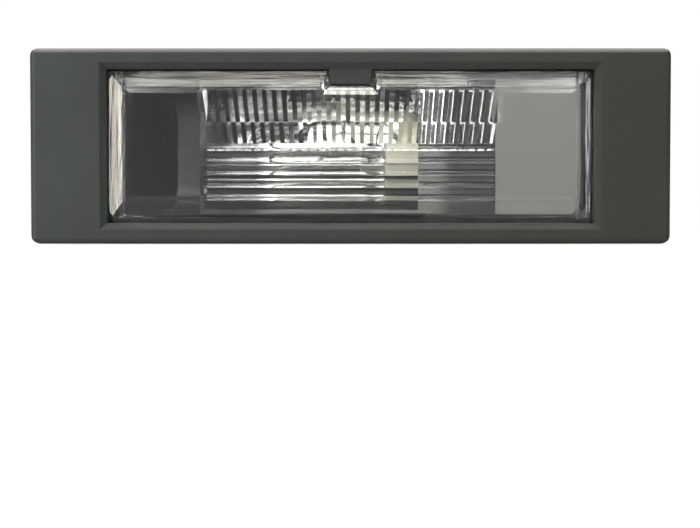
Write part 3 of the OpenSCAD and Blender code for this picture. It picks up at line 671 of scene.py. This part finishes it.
@dataclass(frozen=True)
class BulbGlassFinish(Finish):
    """Thin clear glass with a faint smoke of evaporated metal near the filament."""

    name: str = "bulb_clear"
    tint: Color = (0.97, 0.975, 0.97)
    smoke: Color = (0.80, 0.79, 0.76)
    smoke_share: float = 0.35
    smoke_reach: Range = (0.004, 0.011)
    filament: tuple[float, float, float] = (-0.0045, 0.0119, 0.0)
    ripple: Ripple = Ripple(230.0, 1.0, 0.00003)
    ior: float = 1.5
    lets_through: Color = (0.9, 0.92, 0.91)

    def fill(self, sheet: MaterialSheet) -> None:
        """Feeds the material's shader.

        Args:
            sheet: The material's sheet.
        """
        places = {0: sheet.place, 1: self.filament}
        away = sheet.node("ShaderNodeVectorMath", places, operation="DISTANCE")
        near = sheet.remap(away.outputs["Value"], *self.smoke_reach, self.smoke_share, 0.0)
        body = sheet.blend(near, rgba(self.tint), rgba(self.smoke))
        waves = sheet.noise(sheet.place, self.ripple.per_metre, self.ripple.detail)
        sheet.set(Base_Color=body, Roughness=0.0, IOR=self.ior, Transmission_Weight=1.0)
        sheet.bump(waves[0], self.ripple.depth)
        sheet.let_lamps_through(self.lets_through)


@dataclass(frozen=True)
class ReflectorFinish(Finish):
    """Aluminium flash on plastic, with painted shade at the trough's ends and over its lower half,
    dull on the apron.
    """

    name: str = "reflector_flash"
    bright: Color = srgb(226, 228, 228)
    second: Color = (0.66, 0.67, 0.67)
    patches_per_metre: float = 150.0
    # Painted shade: the trough's ends, beyond the bulb, are darkened by this colour.
    thin: Color = (0.22, 0.22, 0.22)
    shaded_end_edge: Range = (0.0138, 0.0165)
    # Painted shade: the lower half of the trough is darkened by this colour.
    dusty: Color = (0.4, 0.4, 0.39)
    shaded_low_edge: Range = (0.0008, -0.0012)
    dull: Color = srgb(116, 118, 114)
    apron_side: Range = (0.0234, 0.0238)
    apron_face: Range = (0.0019, 0.0016)
    roughness: float = 0.12
    patch_dulls: float = 0.04
    shaded_end_dulls: float = 0.03
    apron_dulls: float = 0.3
    apron_metal: float = 0.2
    ripple: Ripple = Ripple(420.0, 3.0, 0.00004)

    def fill(self, sheet: MaterialSheet) -> None:
        """Feeds the material's shader.

        Args:
            sheet: The material's sheet.
        """
        parts = sheet.split(sheet.place)
        beside = sheet.remap(parts["X"], *self.apron_side)
        apron = sheet.product(beside, sheet.remap(parts["Y"], *self.apron_face))
        tone = sheet.tone(rgba(self.bright), rgba(self.second), self.patches_per_metre)
        # Painted shade over the trough's ends, then over its lower half.
        end = sheet.remap(sheet.math("ABSOLUTE", parts["X"]), *self.shaded_end_edge)
        end_shaded = sheet.blend(end, tone[0], sheet.tinted(tone[0], self.thin))
        low = sheet.remap(parts["Z"], *self.shaded_low_edge)
        low_shaded = sheet.blend(low, end_shaded, sheet.tinted(end_shaded, self.dusty))
        color = sheet.blend(apron, low_shaded, rgba(self.dull))
        rough = sheet.math("MULTIPLY_ADD", tone[1], self.patch_dulls, self.roughness)
        rough = sheet.math("MULTIPLY_ADD", end, self.shaded_end_dulls, rough)
        rough = sheet.math("MULTIPLY_ADD", apron, self.apron_dulls, rough)
        metal = sheet.remap(apron, 0.0, 1.0, 1.0, self.apron_metal)
        waves = sheet.noise(sheet.place, self.ripple.per_metre, self.ripple.detail)
        sheet.set(Base_Color=color, Roughness=rough, Metallic=metal)
        sheet.bump(waves[0], self.ripple.depth)


@dataclass(frozen=True)
class HolderFinish(Finish):
    """Milky white nylon that lets light into its skin, a little yellow where it has aged."""

    name: str = "holder_white"
    color: Color = srgb(236, 236, 228)
    aged: Color = srgb(226, 223, 204)
    patches_per_metre: float = 95.0
    grain: Grain = Grain(4200.0, 0.8, 0.000004)
    rubs: Rubs = Rubs(800.0, 0.4)
    rubbed: Color = srgb(205, 203, 192)
    roughness: float = 0.36
    rub_dulls: float = 0.2
    ior: float = 1.53
    milk: float = 0.35
    milk_color: Color = (1.0, 0.95, 0.8)
    milk_depth: float = 0.0012

    def fill(self, sheet: MaterialSheet) -> None:
        """Feeds the material's shader.

        Args:
            sheet: The material's sheet.
        """
        tone = sheet.tone(rgba(self.color), rgba(self.aged), self.patches_per_metre)
        rubs = sheet.rubs(self.rubs)
        rough = sheet.math("MULTIPLY_ADD", rubs, self.rub_dulls, self.roughness)
        color = sheet.blend(rubs, tone[0], rgba(self.rubbed))
        sheet.set(Base_Color=color, Roughness=rough, IOR=self.ior)
        sheet.set(Subsurface_Weight=self.milk, Subsurface_Radius=self.milk_color)
        sheet.set(Subsurface_Scale=self.milk_depth)
        sheet.bump(sheet.grain(self.grain)[0], self.grain.depth)


@dataclass(frozen=True)
class RubberFinish(Finish):
    """Dark rubber with a dull bloom."""

    name: str = "rubber_ring"
    color: Color = srgb(30, 31, 34)
    bloom: Color = srgb(58, 60, 64)
    patches_per_metre: float = 240.0
    grain: Grain = Grain(6500.0, 0.7, 0.000008)
    roughness: float = 0.5
    bloom_dulls: float = 0.22
    ior: float = 1.5

    def fill(self, sheet: MaterialSheet) -> None:
        """Feeds the material's shader.

        Args:
            sheet: The material's sheet.
        """
        tone = sheet.tone(rgba(self.color), rgba(self.bloom), self.patches_per_metre)
        rough = sheet.math("MULTIPLY_ADD", tone[1], self.bloom_dulls, self.roughness)
        sheet.set(Base_Color=tone[0], Roughness=rough, IOR=self.ior)
        sheet.bump(sheet.grain(self.grain)[0], self.grain.depth)


@dataclass(frozen=True)
class MetalFinish(Finish):
    """Rolled strip metal, brushed along its length."""

    color: Color
    second: Color
    roughness: float
    patches_per_metre: float = 320.0
    brushing: Ripple = Ripple(5200.0, 3.0, 0.000004)
    brush_stretch: tuple[float, float, float] = (0.06, 1.0, 1.0)
    brush_dulls: float = 0.14
    rubs: Rubs = Rubs(1700.0, 0.5)
    rub_dulls: float = 0.15

    def fill(self, sheet: MaterialSheet) -> None:
        """Feeds the material's shader.

        Args:
            sheet: The material's sheet.
        """
        stretched = sheet.scaled(sheet.place, self.brush_stretch)
        brushed = sheet.noise(stretched, self.brushing.per_metre, self.brushing.detail)
        tone = sheet.tone(rgba(self.color), rgba(self.second), self.patches_per_metre)
        rough = sheet.math("MULTIPLY_ADD", brushed[0], self.brush_dulls, self.roughness)
        worn = sheet.math("MULTIPLY_ADD", sheet.rubs(self.rubs), self.rub_dulls, rough)
        sheet.set(Base_Color=tone[0], Roughness=worn, Metallic=1.0)
        sheet.bump(brushed[0], self.brushing.depth)


class Dressing:
    """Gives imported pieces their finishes, and new pieces their place on the part."""

    def __init__(self, effects: Effects) -> None:
        """Keeps the shared effects, and has no materials yet."""
        self.effects = effects
        self.materials: dict[Finish, Material] = {}

    def material(self, finish: Finish) -> Material:
        """Builds a finish's material the first time, and gives the same one after that.

        Args:
            finish: The finish.

        Returns:
            Its material.
        """
        if finish not in self.materials:
            self.materials[finish] = finish.material(self.effects)
        return self.materials[finish]

    def paint(self, finishes: dict[str, Finish]) -> None:
        """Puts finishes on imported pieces.

        Args:
            finishes: The finish of each piece, by the piece's name.
        """
        for node, finish in finishes.items():
            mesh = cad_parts[node].data
            mesh.materials.clear()
            mesh.materials.append(self.material(finish))
            LOG.info("%s: finish %s", node, finish.name)

    def place(self, piece: bpy.types.Object, slot: str, *nodes: str) -> None:
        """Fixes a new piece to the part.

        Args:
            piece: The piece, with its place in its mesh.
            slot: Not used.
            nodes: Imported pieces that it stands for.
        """
        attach(piece, ROOT)
        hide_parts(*nodes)
        LOG.info("%s: %d faces", piece.name, len(piece.data.polygons))


@dataclass
class Shell:
    """The two mouldings that show most, and the rubber frame between lens and housing."""

    bezel: BezelFinish = BezelFinish()
    housing: HousingFinish = HousingFinish()
    seal: RubberFinish = RubberFinish(name="rubber_frame", color=srgb(26, 26, 28))

    def build(self, dressing: Dressing) -> None:
        """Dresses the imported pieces."""
        dressing.paint({"bezel": self.bezel, "housing": self.housing, "lens_seal": self.seal})


@dataclass
class Optics:
    """The lens in front and the reflector behind it."""

    lens: LensFinish = LensFinish()
    reflector: ReflectorFinish = ReflectorFinish()

    def build(self, dressing: Dressing) -> None:
        """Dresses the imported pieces."""
        dressing.paint({"lens": self.lens, "reflector": self.reflector})


@dataclass
class Holder:
    """The bulb holder with its contacts and the rubber ring."""

    body: HolderFinish = HolderFinish()
    ring: RubberFinish = RubberFinish()
    contact: Finish = MetalFinish("contact_tin", srgb(205, 196, 168), srgb(186, 176, 150), 0.24)

    def build(self, dressing: Dressing) -> None:
        """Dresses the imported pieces."""
        dressing.paint({"holder_body": self.body, "holder_seal": self.ring})
        dressing.paint({"contact_upper": self.contact, "contact_lower": self.contact})


@dataclass
class Clip:
    """The spring clip at the end of the housing."""

    steel: Finish = MetalFinish("clip_steel", srgb(196, 196, 212), srgb(178, 178, 194), 0.26)

    def build(self, dressing: Dressing) -> None:
        """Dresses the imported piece."""
        dressing.paint({"spring_clip": self.steel})


class WireTree:
    """Geometry Nodes that turn a path, or a coil made from its sizes, into round wire."""

    BEND_STEPS = 5
    STEPS_PER_TURN = 20

    def __init__(self) -> None:
        """Builds the two trees."""
        self.path = self.along_path()
        self.coil = self.coiled()

    @staticmethod
    def close(sheet: Sheet, given: Outputs, taken: Inputs, curve: Socket) -> NodeTree:
        """Gives a curve its round section and material, and ends the tree.

        Args:
            sheet: The tree's sheet.
            given: What the tree is given.
            taken: What it has to give.
            curve: The middle line of the wire.

        Returns:
            The finished tree.
        """
        ring = sheet.node(
            "GeometryNodeCurvePrimitiveCircle",
            {"Resolution": given["Facets"], "Radius": given["Wire Radius"]},
        )
        wire = sheet.node(
            "GeometryNodeCurveToMesh",
            {"Curve": curve, "Profile Curve": ring.outputs["Curve"], "Fill Caps": True},
        )
        whole = sheet.node("GeometryNodeRealizeInstances", {"Geometry": wire.outputs["Mesh"]})
        smooth = sheet.node("GeometryNodeSetShadeSmooth", {"Geometry": whole.outputs[0]})
        values = {"Geometry": smooth.outputs[0], "Material": given["Material"]}
        painted = sheet.node("GeometryNodeSetMaterial", values)
        sheet.link(painted.outputs[0], taken[0])
        return sheet.tree

    def along_path(self) -> NodeTree:
        """Wire along the corner points of the given mesh, rounded at each bend.

        Returns:
            The tree.
        """
        sheet, given, taken = new_group(
            "wire_along_path",
            "GeometryNodeTree",
            {
                "Geometry": GEOMETRY,
                "Wire Radius": FLOAT,
                "Bend Radius": FLOAT,
                "Facets": INTEGER,
                "Material": MATERIAL,
            },
            {"Geometry": GEOMETRY},
        )
        line = sheet.node("GeometryNodeMeshToCurve", {"Mesh": given["Geometry"]})
        bent = sheet.node(
            "GeometryNodeFilletCurve",
            {"Curve": line.outputs[0], "Count": self.BEND_STEPS, "Radius": given["Bend Radius"]},
            mode="POLY",
        )
        return self.close(sheet, given, taken, bent.outputs[0])

    def coiled(self) -> NodeTree:
        """A coil that stands along Z from the origin, wound from its sizes.

        Returns:
            The tree.
        """
        sheet, given, taken = new_group(
            "coiled_wire",
            "GeometryNodeTree",
            {
                "Geometry": GEOMETRY,
                "Turns": FLOAT,
                "Coil Radius": FLOAT,
                "Length": FLOAT,
                "Wire Radius": FLOAT,
                "Facets": INTEGER,
                "Material": MATERIAL,
            },
            {"Geometry": GEOMETRY},
        )
        spiral = sheet.node(
            "GeometryNodeCurveSpiral",
            {
                "Resolution": self.STEPS_PER_TURN,
                "Rotations": given["Turns"],
                "Start Radius": given["Coil Radius"],
                "End Radius": given["Coil Radius"],
                "Height": given["Length"],
            },
        )
        return self.close(sheet, given, taken, spiral.outputs[0])

    @staticmethod
    def make(name: str, start: bpy.types.Mesh, tree: NodeTree, values: dict) -> bpy.types.Object:
        """Runs a tree on a start mesh and keeps the result as a plain mesh.

        Args:
            name: Name of the piece.
            start: The mesh that the tree starts from.
            tree: The Geometry Nodes tree.
            values: Values of its inputs, by name.

        Returns:
            The finished object, at the origin.
        """
        piece = bpy.data.objects.new(name, start)
        bpy.context.scene.collection.objects.link(piece)
        modifier = piece.modifiers.new("wire", "NODES")
        modifier.node_group = tree
        for socket in tree.interface.items_tree:
            if socket.in_out == "INPUT" and socket.name in values:
                modifier[socket.identifier] = values[socket.name]
        graph = bpy.context.evaluated_depsgraph_get()
        mesh = bpy.data.meshes.new_from_object(piece.evaluated_get(graph))
        piece.modifiers.clear()
        piece.data = mesh
        mesh.name = name
        return piece


@dataclass
class BulbWires:
    """The coiled filament and the two leads that carry it, in millimetres."""

    axis_y: float = 11.9
    filament_x: float = -4.5
    filament_length: float = 5.2
    coil_radius: float = 0.38
    coil_wire: float = 0.06
    turns: float = 13.0
    lead_radius: float = 0.19
    lead_straight: float = 2.0
    shoulder_x: float = 1.6
    lead_y: float = 1.15
    wedge_end_x: float = 12.8
    flat_z: float = 1.38
    lead_end_x: float = 8.6
    lead_gap: float = 0.2
    bend: float = 0.65
    lead_facets: int = 14
    coil_facets: int = 10

    def lead_points(self, side: int) -> list[Vector]:
        """Corner points of one lead, from the filament round the end of the wedge.

        Args:
            side: 1 for the lead on the far side of the axis, -1 for the near one.

        Returns:
            The points, in metres.
        """
        far = side * self.filament_length / 2
        near = side * self.lead_y
        turn = self.wedge_end_x + self.lead_radius + self.lead_gap
        path = [
            (self.filament_x, far, 0.0),
            (self.filament_x + self.lead_straight, far, 0.0),
            (self.shoulder_x, near, 0.0),
            (turn, near, 0.0),
            (turn, near, side * self.flat_z),
            (self.lead_end_x, near, side * self.flat_z),
        ]
        return [Vector((x, self.axis_y + y, z)) * MM for x, y, z in path]

    def lead(self, side: int, name: str, material: Material, trees: WireTree) -> bpy.types.Object:
        """Makes one lead wire.

        Args:
            side: 1 for the lead on the far side of the axis, -1 for the near one.
            name: Name of the piece.
            material: Its finish.
            trees: The trees that make wire.

        Returns:
            The finished object.
        """
        mesh = bpy.data.meshes.new(name)
        points = self.lead_points(side)
        mesh.from_pydata(points, [(i, i + 1) for i in range(len(points) - 1)], [])
        values = {
            "Wire Radius": self.lead_radius * MM,
            "Bend Radius": self.bend * MM,
            "Facets": self.lead_facets,
            "Material": material,
        }
        return WireTree.make(name, mesh, trees.path, values)

    def filament(self, name: str, material: Material, trees: WireTree) -> bpy.types.Object:
        """Makes the filament, laid across the axis between the ends of the leads.

        Args:
            name: Name of the piece.
            material: Its finish.
            trees: The trees that make wire.

        Returns:
            The finished object.
        """
        values = {
            "Turns": self.turns,
            "Coil Radius": self.coil_radius * MM,
            "Length": self.filament_length * MM,
            "Wire Radius": self.coil_wire * MM,
            "Facets": self.coil_facets,
            "Material": material,
        }
        coil = WireTree.make(name, bpy.data.meshes.new(name), trees.coil, values)
        centre = self.filament_x - self.coil_radius - self.coil_wire - self.lead_radius / 2
        start = Vector((centre, self.axis_y - self.filament_length / 2, 0.0)) * MM
        coil.data.transform(Matrix.Translation(start) @ Matrix.Rotation(math.radians(-90), 4, "X"))
        return coil


@dataclass
class Bulb:
    """The wedge bulb: glass, filament and lead wires."""

    wires: BulbWires = field(default_factory=BulbWires)
    glass: BulbGlassFinish = BulbGlassFinish()
    tungsten: Finish = MetalFinish(
        "filament_tungsten", srgb(150, 150, 156), srgb(120, 120, 128), 0.3
    )
    wire: Finish = MetalFinish("lead_wire", srgb(196, 188, 176), srgb(170, 160, 148), 0.28)

    def build(self, dressing: Dressing) -> None:
        """Dresses the glass, and makes the wires and puts them in place.

        Args:
            dressing: What gives finishes and places.
        """
        dressing.paint({"bulb_glass": self.glass})
        trees = WireTree()
        coil = self.wires.filament("filament_coil", dressing.material(self.tungsten), trees)
        dressing.place(coil, "filament", "bulb_filament")
        for side, end in ((1, "upper"), (-1, "lower")):
            lead = self.wires.lead(side, f"lead_wire_{end}", dressing.material(self.wire), trees)
            dressing.place(lead, "lead_wire", f"bulb_lead_{end}")


@dataclass(frozen=True)
class Softbox:
    """One soft lamp of the studio, placed by the direction in which the object sees it."""

    name: str
    azimuth: float
    elevation: float
    distance: float
    width: float
    height: float
    radiance: float
    color: Color = (1.0, 1.0, 1.0)

    def build(self) -> None:
        """Makes the lamp and turns it to the object."""
        data = bpy.data.lights.new(self.name, "AREA")
        data.shape = "RECTANGLE"
        data.size, data.size_y = self.width, self.height
        data.energy = self.radiance * math.pi * self.width * self.height
        data.color = self.color
        lamp = bpy.data.objects.new(self.name, data)
        bpy.context.scene.collection.objects.link(lamp)
        turn, rise = math.radians(self.azimuth), math.radians(self.elevation)
        flat = math.cos(rise)
        away = Vector((math.sin(turn) * flat, -math.cos(turn) * flat, math.sin(rise)))
        lamp.location = away * self.distance
        lamp.rotation_mode = "QUATERNION"
        lamp.rotation_quaternion = away.to_track_quat("Z", "Y")
        LOG.info("%s: %.2f W", self.name, data.energy)


@dataclass
class Studio:
    """Floor, lamps and room, whose parts end at places on a ball of radius 1 round the object."""

    floor_radius: float = 2.5
    floor_sides: int = 96
    floor_gap: float = 0.0001
    floor_white: Color = (0.72, 0.72, 0.72)
    floor_lift: float = 0.4
    floor_fade: Range = (0.1, 0.35)
    surround: float = 0.3
    rest: float = 0.2
    veil: float = 0.9
    veil_edge: Range = (-0.95, -0.85)
    ceiling: float = 1.5
    ceiling_edge: Range = (0.8, 0.9)
    ceiling_behind: Range = (0.3, 0.5)
    behind_edge: Range = (0.0, 0.2)
    dark: float = 0.03
    dark_edge: Range = (-0.8, -0.5)
    panel: float = 9.5
    panel_near: Range = (-0.26, -0.16)
    panel_far: Range = (-0.8, -0.7)
    panel_rim: Range = (0.3, 0.45)
    upper: float = 14.0
    upper_beside: Range = (0.12, 0.2)
    upper_foot: Range = (0.25, 0.4)
    front_edge: Range = (-0.3, -0.1)
    lamps: tuple[Softbox, ...] = (
        Softbox("softbox_left", -47, 10, 0.42, 0.1, 0.18, 14.0, (1.0, 0.95, 0.84)),
        Softbox("softbox_top", -4, 38, 0.42, 0.15, 0.07, 7.0, (1.0, 0.96, 0.84)),
        Softbox("softbox_top_right", 17, 38, 0.42, 0.12, 0.07, 2.5),
        Softbox("softbox_notch", -5, 68, 0.42, 0.1, 0.06, 7.5, (1.0, 0.96, 0.86)),
        Softbox("softbox_front", -10, 50, 0.7, 0.5, 0.2, 1.5),
        Softbox("softbox_right", 70, 34, 0.8, 0.3, 0.3, 1.0),
        Softbox("softbox_over", 0, 76, 0.5, 0.5, 0.28, 1.8, (1.0, 0.98, 0.94)),
        Softbox("softbox_back", 180, 72, 0.6, 0.5, 0.2, 2.4, (1.0, 0.97, 0.97)),
        Softbox("softbox_behind", 205, 28, 0.8, 0.5, 0.4, 2.4),
    )

    def mirrored(self, sheet: Sheet, parts: Outputs) -> Socket:
        """What shiny faces mirror: a soft patch in front, and a ceiling that comes down behind.

        Args:
            sheet: The world's sheet.
            parts: The direction that is looked in, as X, Y and Z.

        Returns:
            The brightness of the room.
        """
        veil = sheet.remap(parts["Y"], *self.veil_edge, self.veil, self.rest)
        over = sheet.remap(parts["Z"], *self.ceiling_edge)
        lower = sheet.remap(parts["Z"], *self.ceiling_behind)
        behind = sheet.product(lower, sheet.remap(parts["Y"], *self.behind_edge))
        above = sheet.product(sheet.math("MAXIMUM", over, behind), self.ceiling)
        return sheet.math("MAXIMUM", veil, above)

    def seen_through(self, sheet: Sheet, parts: Outputs, depth: Socket) -> Socket:
        """What shows through the lens: a dark front, and bright panels at the left and high up.

        Args:
            sheet: The world's sheet.
            parts: The direction that is looked in, as X, Y and Z.
            depth: How many matt faces the ray has met. After one it sees the panels no more.

        Returns:
            The brightness of the room.
        """
        dark = sheet.remap(parts["Y"], *self.dark_edge, self.dark, self.rest)
        near = sheet.remap(parts["X"], *self.panel_near, 1.0, 0.0)
        far = sheet.remap(parts["X"], *self.panel_far)
        rim = sheet.remap(sheet.math("ABSOLUTE", parts["Z"]), *self.panel_rim, 1.0, 0.0)
        front = sheet.remap(parts["Y"], *self.front_edge, 1.0, 0.0)
        panel = sheet.product(near, far, rim, front, self.panel)
        beside = sheet.remap(sheet.math("ABSOLUTE", parts["X"]), *self.upper_beside)
        upper = sheet.product(beside, sheet.remap(parts["Z"], *self.upper_foot), front, self.upper)
        bright = sheet.math("MAXIMUM", panel, upper)
        return sheet.math("MULTIPLY_ADD", bright, sheet.math("LESS_THAN", depth, 0.5), dark)

    def room(self) -> None:
        """Makes the world: white to the camera, and the room of a studio to other rays."""
        world = bpy.data.worlds.new("studio")
        bpy.context.scene.world = world
        world.use_nodes = True
        sheet = Sheet(world.node_tree)
        rays = sheet.node("ShaderNodeLightPath").outputs
        parts = sheet.split(sheet.node("ShaderNodeTexCoord").outputs["Generated"])
        through = rays["Is Transmission Ray"]
        outside = sheet.product(sheet.math("SUBTRACT", 1.0, through), self.mirrored(sheet, parts))
        inside = self.seen_through(sheet, parts, rays["Diffuse Depth"])
        shown = sheet.math("MULTIPLY_ADD", through, inside, outside)
        seen = sheet.math("MAXIMUM", rays["Is Glossy Ray"], through)
        soft = sheet.product(sheet.math("SUBTRACT", 1.0, seen), self.surround)
        lit = sheet.math("MULTIPLY_ADD", seen, shown, soft)
        level = sheet.math("MAXIMUM", lit, rays["Is Camera Ray"])
        white = rgba((1.0, 1.0, 1.0))
        light = sheet.node("ShaderNodeBackground", {"Color": white, "Strength": level})
        sheet.node("ShaderNodeOutputWorld", {0: light.outputs[0]})

    def floor(self) -> None:
        """Makes the round pale floor under the object, which fades to plain white away from it."""
        sides, radius = self.floor_sides, self.floor_radius
        bpy.ops.mesh.primitive_circle_add(vertices=sides, radius=radius, fill_type="NGON")
        floor = bpy.context.object
        floor.name = "floor"
        floor.data.transform(Matrix.Translation((0, 0, CAD_BOX[0].z - self.floor_gap)))
        material = bpy.data.materials.new("floor_white")
        material.use_nodes = True
        sheet = Sheet(material.node_tree)
        seen = sheet.node("ShaderNodeLightPath").outputs["Is Camera Ray"]
        paper = sheet.node("ShaderNodeBsdfDiffuse", {"Color": rgba(self.floor_white)})
        lift = sheet.node("ShaderNodeEmission", {"Strength": sheet.product(seen, self.floor_lift)})
        near = sheet.node("ShaderNodeAddShader", {0: paper.outputs[0], 1: lift.outputs[0]})
        place = sheet.node("ShaderNodeTexCoord").outputs["Object"]
        away = sheet.node("ShaderNodeVectorMath", {0: place}, operation="LENGTH").outputs["Value"]
        shown = sheet.product(sheet.remap(away, *self.floor_fade), seen)
        white = sheet.node("ShaderNodeEmission", {"Strength": 1.0})
        mix = sheet.node("ShaderNodeMixShader", {0: shown, 1: near.outputs[0], 2: white.outputs[0]})
        sheet.node("ShaderNodeOutputMaterial", {0: mix.outputs[0]})
        floor.data.materials.append(material)

    def build(self) -> None:
        """Makes the floor, the lamps and the world."""
        self.floor()
        self.room()
        for lamp in self.lamps:
            lamp.build()
        bpy.context.scene.view_settings.view_transform = "Standard"


@dataclass
class Camera:
    """The camera in front of the lens, at the photograph's scale and place in the frame."""

    distance: float = 0.22
    height: float = -0.012
    front_y: float = -0.003
    picture: tuple[int, int] = (700, 528)
    object_at: tuple[float, float] = (350.5, 146.0)
    pixels_per_metre: float = 6223.0
    sensor: float = 36.0
    sight: Range = (0.01, 20.0)

    def build(self) -> None:
        """Makes the camera and sets it as the scene's."""
        width, height = self.picture
        reach = self.pixels_per_metre * self.distance
        drop = math.atan((height / 2 - self.object_at[1]) / reach + self.height / self.distance)
        turn = math.atan((self.object_at[0] - width / 2) / reach)
        data = bpy.data.cameras.new("camera")
        data.sensor_width = self.sensor
        data.lens = self.sensor * reach * math.cos(drop) / width
        data.clip_start, data.clip_end = self.sight
        camera = bpy.data.objects.new("camera", data)
        bpy.context.scene.collection.objects.link(camera)
        camera.location = (0.0, self.front_y - self.distance, self.height)
        camera.rotation_euler = (math.radians(90) - drop, 0.0, turn)
        bpy.context.scene.camera = camera
        LOG.info("camera: %.1f mm lens, %.2f degrees down", data.lens, math.degrees(drop))


def main() -> None:
    """Builds the scene in order and reports each piece."""
    logging.basicConfig(level=logging.INFO, format="%(name)s: %(message)s")
    dressing = Dressing(Effects())
    for part in (Shell(), Optics(), Holder(), Clip(), Bulb()):
        part.build(dressing)
    Studio().build()
    Camera().build()


if __name__ == "__main__":
    main()
